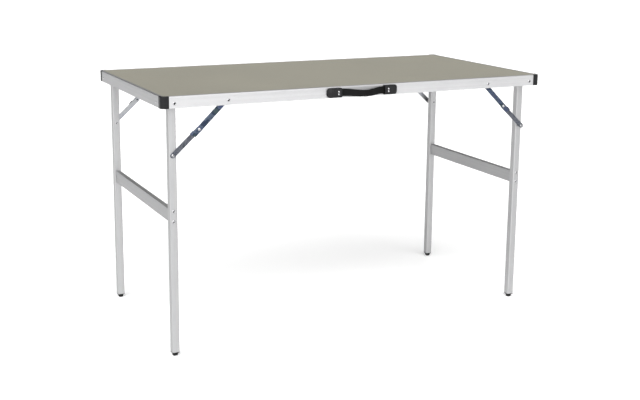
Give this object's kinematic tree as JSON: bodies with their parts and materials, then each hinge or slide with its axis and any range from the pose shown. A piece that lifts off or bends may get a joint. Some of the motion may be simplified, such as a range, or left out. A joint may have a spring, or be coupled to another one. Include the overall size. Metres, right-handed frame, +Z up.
{
  "type": "folding table",
  "caption": "Rectangular camping table with a framed panel top, folding H-shaped leg frames, jointed locking stays and a carrying handle.",
  "frame": {"origin": "on the floor under the middle of the whole outline, with the legs open", "axes": "+X along the top's length, +Y from the handle side to the rear, +Z up"},
  "size_m": [1.2, 0.6262, 0.72],
  "materials": {
    "laminate": "matt grey-beige decorative laminate",
    "core_board": "raw fibreboard",
    "underside_sheet": "pale backing sheet",
    "rail_aluminium": "satin anodised extrusion",
    "tube_aluminium": "satin anodised tube",
    "corner_plastic": "moulded black, slight sheen",
    "handle_plastic": "moulded black, glossy",
    "strap_plastic": "flexible black, lightly textured",
    "foot_rubber": "black foot plug",
    "zinc_steel": "zinc plated with a blue-violet passivation",
    "rivet_steel": "bright rivet"
  },
  "bodies": {
    "tabletop": {"top_laminate": "laminate", "core_board": "core_board", "underside_sheet": "underside_sheet", "front_rail": "rail_aluminium", "rear_rail": "rail_aluminium", "left_rail": "rail_aluminium", "right_rail": "rail_aluminium", "corner_cap_front_left": "corner_plastic", "corner_cap_front_right": "corner_plastic", "corner_cap_rear_left": "corner_plastic", "corner_cap_rear_right": "corner_plastic", "corner_rivets": "rivet_steel", "left_hinge_pins": "rivet_steel", "right_hinge_pins": "rivet_steel", "left_hinge_bushes": "rivet_steel", "right_hinge_bushes": "rivet_steel", "left_stay_pins": "rivet_steel", "right_stay_pins": "rivet_steel", "left_stay_bushes": "rivet_steel", "right_stay_bushes": "rivet_steel", "handle_cap_left": "handle_plastic", "handle_cap_right": "handle_plastic", "handle_rivets": "rivet_steel"},
    "handle_grip": {"handle_strap": "strap_plastic"},
    "left_leg_frame": {"left_leg_front": "tube_aluminium", "left_leg_rear": "tube_aluminium", "left_crossbar": "tube_aluminium", "left_crossbar_plugs": "corner_plastic", "left_crossbar_rivets": "rivet_steel", "left_foot_front": "foot_rubber", "left_foot_rear": "foot_rubber", "left_leg_plugs": "corner_plastic", "left_stay_anchors": "rivet_steel"},
    "right_leg_frame": {"right_leg_front": "tube_aluminium", "right_leg_rear": "tube_aluminium", "right_crossbar": "tube_aluminium", "right_crossbar_plugs": "corner_plastic", "right_crossbar_rivets": "rivet_steel", "right_foot_front": "foot_rubber", "right_foot_rear": "foot_rubber", "right_leg_plugs": "corner_plastic", "right_stay_anchors": "rivet_steel"},
    "left_front_upper_stay": {"left_front_upper_link": "zinc_steel", "left_front_knee_rivet": "rivet_steel"},
    "left_front_lower_stay": {"left_front_lower_link": "zinc_steel", "left_front_end_rivet": "rivet_steel"},
    "left_rear_upper_stay": {"left_rear_upper_link": "zinc_steel", "left_rear_knee_rivet": "rivet_steel"},
    "left_rear_lower_stay": {"left_rear_lower_link": "zinc_steel", "left_rear_end_rivet": "rivet_steel"},
    "right_front_upper_stay": {"right_front_upper_link": "zinc_steel", "right_front_knee_rivet": "rivet_steel"},
    "right_front_lower_stay": {"right_front_lower_link": "zinc_steel", "right_front_end_rivet": "rivet_steel"},
    "right_rear_upper_stay": {"right_rear_upper_link": "zinc_steel", "right_rear_knee_rivet": "rivet_steel"},
    "right_rear_lower_stay": {"right_rear_lower_link": "zinc_steel", "right_rear_end_rivet": "rivet_steel"}
  },
  "joints": [
    {"name": "handle_pull", "type": "slide", "parent": "tabletop", "child": "handle_grip", "axis": [0, -1, 0], "range_m": [0, 0.003]},
    {"name": "left_leg_fold", "type": "hinge", "parent": "tabletop", "child": "left_leg_frame", "pos_m": [-0.5635, 0.01265, 0.7], "axis": [0, -1, 0], "range_deg": [0, 90]},
    {"name": "right_leg_fold", "type": "hinge", "parent": "tabletop", "child": "right_leg_frame", "pos_m": [0.5635, 0.01265, 0.7], "axis": [0, 1, 0], "range_deg": [0, 90]},
    {"name": "left_front_stay_pivot", "type": "hinge", "parent": "tabletop", "child": "left_front_upper_stay", "pos_m": [-0.4135, -0.27005, 0.7], "axis": [0, -1, 0], "range_deg": [-44.13, 0]},
    {"name": "left_front_stay_knee", "type": "hinge", "parent": "left_front_upper_stay", "child": "left_front_lower_stay", "pos_m": [-0.49068, -0.26675, 0.62525], "axis": [0, -1, 0], "range_deg": [0, 181.83]},
    {"name": "left_rear_stay_pivot", "type": "hinge", "parent": "tabletop", "child": "left_rear_upper_stay", "pos_m": [-0.4135, 0.29535, 0.7], "axis": [0, -1, 0], "range_deg": [-44.13, 0]},
    {"name": "left_rear_stay_knee", "type": "hinge", "parent": "left_rear_upper_stay", "child": "left_rear_lower_stay", "pos_m": [-0.49068, 0.29205, 0.62525], "axis": [0, -1, 0], "range_deg": [0, 181.83]},
    {"name": "right_front_stay_pivot", "type": "hinge", "parent": "tabletop", "child": "right_front_upper_stay", "pos_m": [0.4135, -0.26005, 0.7], "axis": [0, 1, 0], "range_deg": [-44.13, 0]},
    {"name": "right_front_stay_knee", "type": "hinge", "parent": "right_front_upper_stay", "child": "right_front_lower_stay", "pos_m": [0.49068, -0.25675, 0.62525], "axis": [0, 1, 0], "range_deg": [0, 181.83]},
    {"name": "right_rear_stay_pivot", "type": "hinge", "parent": "tabletop", "child": "right_rear_upper_stay", "pos_m": [0.4135, 0.28535, 0.7], "axis": [0, 1, 0], "range_deg": [-44.13, 0]},
    {"name": "right_rear_stay_knee", "type": "hinge", "parent": "right_rear_upper_stay", "child": "right_rear_lower_stay", "pos_m": [0.49068, 0.28205, 0.62525], "axis": [0, 1, 0], "range_deg": [0, 181.83]}
  ],
  "couplings": [
    {"joint": "left_front_stay_pivot", "follows": "left_leg_fold", "ratio": -0.4898},
    {"joint": "left_front_stay_knee", "follows": "left_leg_fold", "ratio": 2.0198},
    {"joint": "left_rear_stay_pivot", "follows": "left_leg_fold", "ratio": -0.4898},
    {"joint": "left_rear_stay_knee", "follows": "left_leg_fold", "ratio": 2.0198},
    {"joint": "right_front_stay_pivot", "follows": "right_leg_fold", "ratio": -0.4898},
    {"joint": "right_front_stay_knee", "follows": "right_leg_fold", "ratio": 2.0198},
    {"joint": "right_rear_stay_pivot", "follows": "right_leg_fold", "ratio": -0.4898},
    {"joint": "right_rear_stay_knee", "follows": "right_leg_fold", "ratio": 2.0198}
  ]
}
